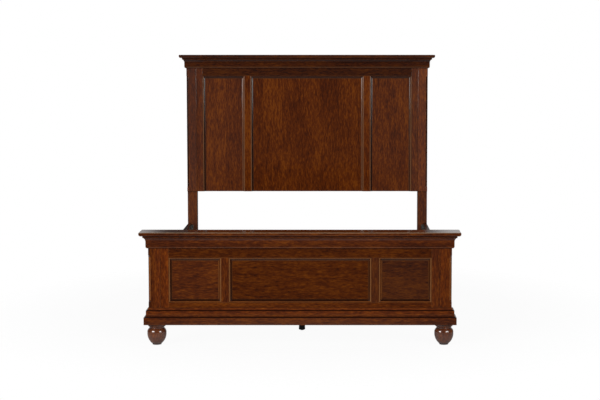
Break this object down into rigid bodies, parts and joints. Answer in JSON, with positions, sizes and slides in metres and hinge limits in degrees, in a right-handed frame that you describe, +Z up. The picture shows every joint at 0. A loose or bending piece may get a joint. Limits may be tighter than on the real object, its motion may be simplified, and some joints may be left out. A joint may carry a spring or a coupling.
{
  "type": "panel bed",
  "caption": "Queen-size panel bed: tall panelled headboard with a crown, low panelled footboard on bun feet, hook-on side rails, slats and levelling centre legs.",
  "frame": {"origin": "on the floor under the middle of the bed's bounding box", "axes": "+X to the right of someone facing the footboard, +Y from the footboard to the headboard, +Z up"},
  "size_m": [1.742, 2.259, 1.568],
  "materials": {
    "cherry_stain": "satin lacquer over a dark reddish-brown cherry stain, darker glaze in the recesses",
    "pale_wood": "planed softwood, unfinished",
    "black_lacquer": "black satin lacquer",
    "black_plastic": "moulded matt black",
    "zinc_steel": "dull zinc plate"
  },
  "bodies": {
    "bed": {"headboard_leg_left": "cherry_stain", "headboard_leg_right": "cherry_stain", "headboard_pilaster_left": "cherry_stain", "headboard_pilaster_right": "cherry_stain", "headboard_stile_left": "cherry_stain", "headboard_stile_right": "cherry_stain", "headboard_top_rail": "cherry_stain", "headboard_mullion_left": "cherry_stain", "headboard_mullion_right": "cherry_stain", "headboard_panel_left": "cherry_stain", "headboard_panel_centre": "cherry_stain", "headboard_panel_right": "cherry_stain", "headboard_bead_left": "cherry_stain", "headboard_bead_centre": "cherry_stain", "headboard_bead_right": "cherry_stain", "headboard_back_rail": "cherry_stain", "headboard_crown": "cherry_stain", "headboard_cap": "cherry_stain", "footboard_post_left": "cherry_stain", "footboard_post_right": "cherry_stain", "footboard_stile_left": "cherry_stain", "footboard_stile_right": "cherry_stain", "footboard_top_rail": "cherry_stain", "footboard_bottom_rail": "cherry_stain", "footboard_mullion_left": "cherry_stain", "footboard_mullion_right": "cherry_stain", "footboard_panel_left": "cherry_stain", "footboard_panel_centre": "cherry_stain", "footboard_panel_right": "cherry_stain", "footboard_bead_left": "cherry_stain", "footboard_bead_centre": "cherry_stain", "footboard_bead_right": "cherry_stain", "footboard_crown": "cherry_stain", "footboard_cap": "cherry_stain", "footboard_base_moulding": "cherry_stain", "footboard_plinth": "cherry_stain", "bun_foot_left": "cherry_stain", "bun_foot_right": "cherry_stain", "side_rail_left": "cherry_stain", "side_rail_right": "cherry_stain", "slat_ledge_left": "pale_wood", "slat_ledge_right": "pale_wood", "slat_1": "pale_wood", "slat_2": "pale_wood", "slat_3": "pale_wood", "centre_leg_1": "black_lacquer", "centre_leg_2": "black_lacquer", "centre_leg_3": "black_lacquer", "hanger_bolts": "zinc_steel", "rail_hook_plates": "zinc_steel", "post_socket_plates": "zinc_steel", "plate_screws": "zinc_steel", "slat_screws": "zinc_steel", "leg_bolts": "zinc_steel"},
    "pad_1": {"levelling_pad_1": "black_plastic"},
    "stud_1": {"levelling_stud_1": "zinc_steel"},
    "pad_2": {"levelling_pad_2": "black_plastic"},
    "stud_2": {"levelling_stud_2": "zinc_steel"},
    "pad_3": {"levelling_pad_3": "black_plastic"},
    "stud_3": {"levelling_stud_3": "zinc_steel"}
  },
  "joints": [
    {"name": "level_foot_1", "type": "slide", "parent": "bed", "child": "pad_1", "axis": [0, 0, -1], "range_m": [-0.003, 0.012]},
    {"name": "turn_stud_1", "type": "hinge", "parent": "pad_1", "child": "stud_1", "pos_m": [0, -0.6475, 0.03], "axis": [0, 0, -1], "range_deg": [-870, 3460]},
    {"name": "level_foot_2", "type": "slide", "parent": "bed", "child": "pad_2", "axis": [0, 0, -1], "range_m": [-0.003, 0.012]},
    {"name": "turn_stud_2", "type": "hinge", "parent": "pad_2", "child": "stud_2", "pos_m": [0, 0.037, 0.03], "axis": [0, 0, -1], "range_deg": [-870, 3460]},
    {"name": "level_foot_3", "type": "slide", "parent": "bed", "child": "pad_3", "axis": [0, 0, -1], "range_m": [-0.003, 0.012]},
    {"name": "turn_stud_3", "type": "hinge", "parent": "pad_3", "child": "stud_3", "pos_m": [0, 0.7215, 0.03], "axis": [0, 0, -1], "range_deg": [-870, 3460]}
  ],
  "couplings": [
    {"joint": "turn_stud_1", "follows": "level_foot_1", "rad_per_m": 5026.5},
    {"joint": "turn_stud_2", "follows": "level_foot_2", "rad_per_m": 5026.5},
    {"joint": "turn_stud_3", "follows": "level_foot_3", "rad_per_m": 5026.5}
  ]
}
